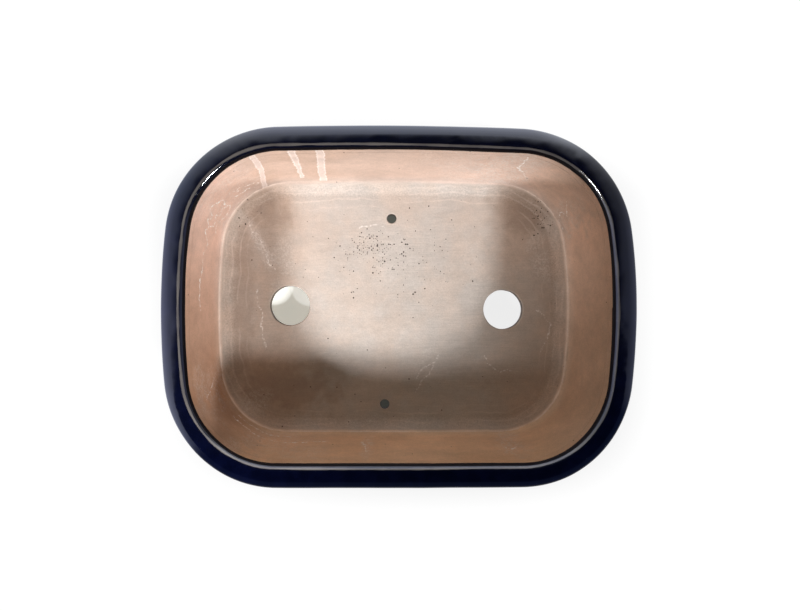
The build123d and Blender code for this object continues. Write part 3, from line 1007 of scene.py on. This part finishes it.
    # faint streaks of the trowel along the floor and round the edge and the wall
    lengthways = shader.noise(0.0010, 4, 0.6, stretch=(0.07, 1, 0.9))
    turned = shader.add("ShaderNodeCombineXYZ", {"X": inset, "Y": shader.maths("MULTIPLY", z, 1000)}).outputs[0]
    shifted = shader.add("ShaderNodeVectorMath", {0: turned, 1: shader.place}, operation="MULTIPLY_ADD")
    shader.set(shifted.inputs[1], (1, 1, 1))
    shader.set(shifted.inputs[2], shader.shade(shader.place, (30, 30, 30)))
    round_wall = shader.add("ShaderNodeTexNoise", {"Vector": shifted.outputs[0], "Scale": 0.55, "Detail": 3.0}).outputs[0]
    near = shader.ramp(inset, 46, 32)
    streaks = shader.add("ShaderNodeMix", {0: near, 2: lengthways, 3: round_wall}).outputs[0]
    reach = shader.ramp(shader.noise(0.03, 2), 0.35, 0.65, 0.2, 1.0)
    strength = shader.maths("MULTIPLY", shader.ramp(streaks, 0.3, 0.7, -0.075, 0.06, kind="LINEAR"), reach)
    strength = shader.maths("MULTIPLY", strength, shader.ramp(low, 0, 1, 1.7, 1.0))
    colour = shader.shade(colour, shader.maths("ADD", strength, 1.0))
    smear = shader.ramp(shader.noise(0.012, 5, 0.68, stretch=(0.45, 1, 1)), 0.33, 0.67, -0.075, 0.055, kind="LINEAR")
    colour = shader.shade(colour, shader.maths("ADD", smear, 1.0))

    # grain of the clay, coarser in the hollow
    grain = shader.ramp(shader.noise(0.00085, 4, 0.65), 0.28, 0.72, -0.10, 0.09, kind="LINEAR")
    patch = shader.ramp(shader.noise(0.0038, 4, 0.65), 0.28, 0.72, -0.055, 0.05, kind="LINEAR")
    colour = shader.shade(colour, shader.maths("ADD", shader.maths("ADD", grain, patch), 1.0))

    # pinholes: a few everywhere, dense in clusters, painted near-black as painted shade inside them
    pins = shader.add("ShaderNodeTexVoronoi", {"Vector": shader.place, "Scale": 820.0}, voronoi_dimensions="2D")
    chance, size, _ = shader.add("ShaderNodeSeparateColor", {"Color": pins.outputs["Color"]}).outputs
    there = shader.maths("LESS_THAN", chance, shader.maths("ADD", shader.mark("specks"), 0.0025))
    radius = shader.ramp(shader.maths("POWER", size, 3.0), 0, 1, 0.12, 0.42, kind="LINEAR")
    dot = shader.ramp(shader.maths("SUBTRACT", pins.outputs["Distance"], radius), 0.06, -0.06)
    hole = shader.maths("MULTIPLY", shader.maths("MULTIPLY", there, dot), low)
    pits = shader.add("ShaderNodeTexVoronoi", {"Vector": shader.place, "Scale": 260.0})
    pit_chance = shader.add("ShaderNodeSeparateColor", {"Color": pits.outputs["Color"]}).outputs[0]
    pit = shader.maths("MULTIPLY", shader.maths("LESS_THAN", pit_chance, 0.05), shader.ramp(pits.outputs["Distance"], 0.14, 0.08))
    hole = shader.maths("MAXIMUM", hole, shader.maths("MULTIPLY", pit, 0.7))
    colour = shader.mix(hole, colour, rgb(0.035, 0.025, 0.02))

    # the cut sides of the holes are rough, and painted dark: painted shade on the hole walls
    hole_wall_shade = shader.ramp(z, FLOOR_TOP - 0.5 * MM, FLOOR_TOP - 1.1 * MM, 0.0, 0.75)
    hole_wall_shade = shader.maths("MULTIPLY", hole_wall_shade, shader.ramp(z, FOOT_HEIGHT + 0.3 * MM, FOOT_HEIGHT + 1.5 * MM))
    colour = shader.mix(hole_wall_shade, colour, rgb(0.05, 0.04, 0.03))

    bump = shader.bump(shader.noise(0.0009, 4, 0.6), 0.00009)
    bump = shader.bump(hole, -0.0003, bump)
    shader.set(shader.surface.inputs["Specular IOR Level"], 0.25)
    return shader.finish(Base_Color=colour, Roughness=0.85, Normal=bump)


def glaze_material():
    """Thick glossy navy glaze with a grey-beige line on the lip's inner crest: partly glaze breaking where it runs
    thin, partly a painted highlight, brighter along the front as a painted reflection.
    """
    shader = Shader("navy_glaze")
    mottle = shader.ramp(shader.noise(0.007, 4), 0.35, 0.7)
    colour = shader.mix(mottle, rgb(0.0006, 0.0011, 0.0066), rgb(0.0011, 0.0018, 0.0105))
    crest = shader.maths("ABSOLUTE", shader.mark("from_crest"), 0)
    width = shader.ramp(shader.noise(0.016, 3), 0.3, 0.7, 0.55, 1.0)
    y = shader.add("ShaderNodeSeparateXYZ", {"Vector": shader.place}).outputs["Y"]
    width = shader.maths("MULTIPLY", width, shader.ramp(y, -0.05, -0.085, 1.0, 0.75))
    thin = shader.ramp(shader.maths("DIVIDE", crest, width), 1.05, 0.35)
    # the pale line is brighter along the front: painted reflection
    wear_and_highlight = shader.ramp(y, -0.05, -0.085, 0.115, 0.21)
    bare_and_highlight = shader.mix(shader.ramp(shader.noise(0.02, 3), 0.35, 0.65), rgb(0.75, 0.68, 0.68), rgb(1.1, 1.0, 0.95))
    bare_and_highlight = shader.shade(bare_and_highlight, wear_and_highlight)
    colour = shader.mix(thin, colour, bare_and_highlight)
    bump = shader.bump(shader.noise(0.0028, 2), 0.000010)
    return shader.finish(Base_Color=colour, Roughness=0.10, Normal=bump)


def dry_glaze_material():
    """The thin dry glaze inside the lip: nearly black, and brown by its edge."""
    shader = Shader("dry_glaze")
    edge = shader.ramp(shader.mark("from_edge"), 2.3, 0.5)
    patchy = shader.ramp(shader.noise(0.004, 3), 0.35, 0.6, 0.3, 1.0)
    colour = shader.mix(shader.maths("MULTIPLY", edge, patchy), rgb(0.0035, 0.003, 0.0045), rgb(0.022, 0.013, 0.010))
    bump = shader.bump(shader.noise(0.0012, 3), 0.00004)
    shader.set(shader.surface.inputs["Specular IOR Level"], 0.08)
    return shader.finish(Base_Color=colour, Roughness=0.55, Normal=bump)


# ------------------------------------------------------------------ camera, light and stage


def make_camera():
    """The viewpoint nearly straight above the pot."""
    tilt_x, tilt_y, roll = np.radians([-0.84, 1.04, -0.19])
    turn = Matrix.Rotation(roll, 3, "Z") @ Matrix.Rotation(tilt_x, 3, "X") @ Matrix.Rotation(tilt_y, 3, "Y")
    camera = bpy.data.objects.new("camera", bpy.data.cameras.new("camera"))
    camera.data.sensor_width = 36.0
    camera.data.lens = 31.93
    camera.matrix_world = Matrix.Translation(Vector((-6.7, -5.3, 466.0)) * MM) @ turn.transposed().to_4x4()
    bpy.context.scene.collection.objects.link(camera)
    bpy.context.scene.camera = camera


def make_lamp(name, azimuth, elevation, distance, softness, power, aim, cone):
    """A soft spot lamp: azimuth 0 is +X and -90 is the front, softness is its radius over its distance."""
    a, e = math.radians(azimuth), math.radians(elevation)
    place = Vector((math.cos(e) * math.cos(a), math.cos(e) * math.sin(a), math.sin(e))) * distance
    light = bpy.data.lights.new(name, "SPOT")
    light.energy = power
    light.shadow_soft_size = softness * distance
    light.spot_size = math.radians(cone)
    light.spot_blend = 1.0
    lamp = bpy.data.objects.new(name, light)
    lamp.location = place
    lamp.rotation_euler = (Vector(aim) - place).to_track_quat("-Z", "Y").to_euler()
    lamp.visible_glossy = False
    bpy.context.scene.collection.objects.link(lamp)


def make_kicker(name, corner, azimuth):
    """A small soft box over the pot that only shows as a thin bright line on the lip's inner crest in one corner."""
    light = bpy.data.lights.new(name, "AREA")
    light.shape = "ELLIPSE"
    light.size = 0.024
    light.size_y = 0.005
    light.spread = math.radians(25)
    light.energy = 0.010
    a, e = math.radians(azimuth), math.radians(40)
    toward = Vector((math.cos(e) * math.cos(a), math.cos(e) * math.sin(a), math.sin(e)))
    lamp = bpy.data.objects.new(name, light)
    lamp.location = Vector((*corner, TOTAL_HEIGHT)) + toward * 0.16
    lamp.rotation_euler = (-toward).to_track_quat("-Z", "Y").to_euler()
    lamp.visible_camera = False
    lamp.visible_diffuse = False
    bpy.context.scene.collection.objects.link(lamp)


def make_world():
    """A plain studio. Reflections see bright walls behind and at the left, a dim right side and a dark front."""
    world = bpy.data.worlds.new("studio")
    bpy.context.scene.world = world
    world.use_nodes = True
    studio = Shader.for_world(world)
    direction = studio.add("ShaderNodeTexCoord").outputs["Generated"]
    x, y, up = studio.add("ShaderNodeSeparateXYZ", {"Vector": direction}).outputs
    azimuth = studio.ramp(studio.maths("ARCTAN2", y, x), -math.pi, math.pi, kind="LINEAR")
    walls = studio.colours(azimuth, STUDIO_WALLS)
    fade = studio.colours(studio.ramp(up, -1, 1, kind="LINEAR"), STUDIO_FADE)
    above = studio.maths("SUBTRACT", up, studio.colours(azimuth, STUDIO_TOPS))
    walls = studio.shade(studio.shade(walls, fade), studio.ramp(above, 0.055, -0.045, 0.03, 1.0))
    table = studio.ramp(up, -0.25, -0.95, 0.0, 0.10)
    reflected = studio.mix(1.0, walls, table, blend="ADD")
    reflected = studio.shade(reflected, (4, 4, 4))
    behind = studio.shade(AMBIENT_TINT, studio.ramp(y, 0.0, 1.0, AMBIENT, AMBIENT + AMBIENT_BEHIND))
    path = studio.add("ShaderNodeLightPath").outputs
    seen = studio.mix(path["Is Glossy Ray"], behind, reflected)
    seen = studio.mix(path["Is Camera Ray"], seen, rgb(0.95, 0.95, 0.95))
    studio.set(studio.surface.inputs["Color"], seen)
    world.cycles.sampling_method = "NONE"


def make_stage():
    """A plain pale table that glows as an evenly lit one does, with a painted soft shadow round the pot, dark under
    it, and painted light patches under the holes.
    """
    half = 2.0
    mesh = bpy.data.meshes.new("stage_floor")
    mesh.from_pydata([(-half, -half, 0), (half, -half, 0), (half, half, 0), (-half, half, 0)], [], [(0, 1, 2, 3)])
    shader = Shader("stage")
    x, y, _ = shader.add("ShaderNodeSeparateXYZ", {"Vector": shader.place}).outputs
    across = shader.maths("POWER", shader.maths("ABSOLUTE", shader.maths("DIVIDE", x, HALF_LENGTH), 0), 4.0)
    shifted = shader.maths("DIVIDE", shader.maths("ADD", y, 2 * MM), HALF_WIDTH)
    deep = shader.maths("POWER", shader.maths("ABSOLUTE", shifted, 0), 4.0)
    away = shader.maths("POWER", shader.maths("ADD", across, deep), 0.25)
    # painted soft shadow round the pot and dark under it, a little lighter behind it
    near = shader.ramp(away, 0.92, 1.12, 0.0, 0.78)
    glow = shader.maths("ADD", near, shader.ramp(away, 1.0, 1.45, 0.0, 0.22))
    glow = shader.maths("ADD", glow, shader.ramp(y, 0.07, 0.11, 0.0, 0.05))
    # painted light on the table under the holes
    for name, aside, reach, strength, tint in UNDER_HOLES:
        centre = (MOUNTS[name]["pos_m"][0] + aside[0] * MM, MOUNTS[name]["pos_m"][1] + aside[1] * MM, 0)
        gap = shader.add("ShaderNodeVectorMath", {0: shader.place, 1: centre}, operation="DISTANCE").outputs["Value"]
        spot = shader.shade(tint, shader.ramp(gap, reach[1] * MM, reach[0] * MM, 0.0, strength))
        glow = shader.add("ShaderNodeVectorMath", {0: glow, 1: spot}, operation="ADD").outputs[0]
    shader.set(shader.surface.inputs["Emission Color"], glow)
    shader.set(shader.surface.inputs["Emission Strength"], 1.0)
    centre = MOUNTS["drain_left"]["pos_m"][:2] + [0]
    gap = shader.add("ShaderNodeVectorMath", {0: shader.place, 1: centre}, operation="DISTANCE").outputs["Value"]
    pale = shader.mix(shader.ramp(gap, 0.023, 0.017), rgb(0.08, 0.08, 0.08), rgb(0.98, 0.98, 0.95))
    mesh.materials.append(shader.finish(Base_Color=pale, Roughness=0.9))
    floor = bpy.data.objects.new("stage_floor", mesh)
    floor.visible_glossy = False
    bpy.context.scene.collection.objects.link(floor)


clay = clay_material()
glaze = glaze_material()
make_camera()
make_lamp("key_right", -46, 39.5, 2.4, 0.07, 190, (0.02, 0, 0.02), 17)
make_lamp("key_left", -138, 40.3, 0.45, 0.06, 8.2, (-0.1, 0, 0.02), 50)
make_kicker("kicker_left", (-0.104, 0.073), -45)
make_kicker("kicker_right", (0.104, 0.073), -138)
make_world()
make_stage()
build_floor(clay)
build_coil(clay)
build_wall(clay)
build_lip(clay)
build_glaze(glaze, dry_glaze_material())
for foot_name, foot_mirror in (
    ("back_right", (1, 1)),
    ("back_left", (-1, 1)),
    ("front_right", (1, -1)),
    ("front_left", (-1, -1)),
):
    build_foot(foot_name, np.array(foot_mirror), clay, glaze)

bpy.context.scene.view_settings.view_transform = "Standard"
bpy.context.view_layer.update()
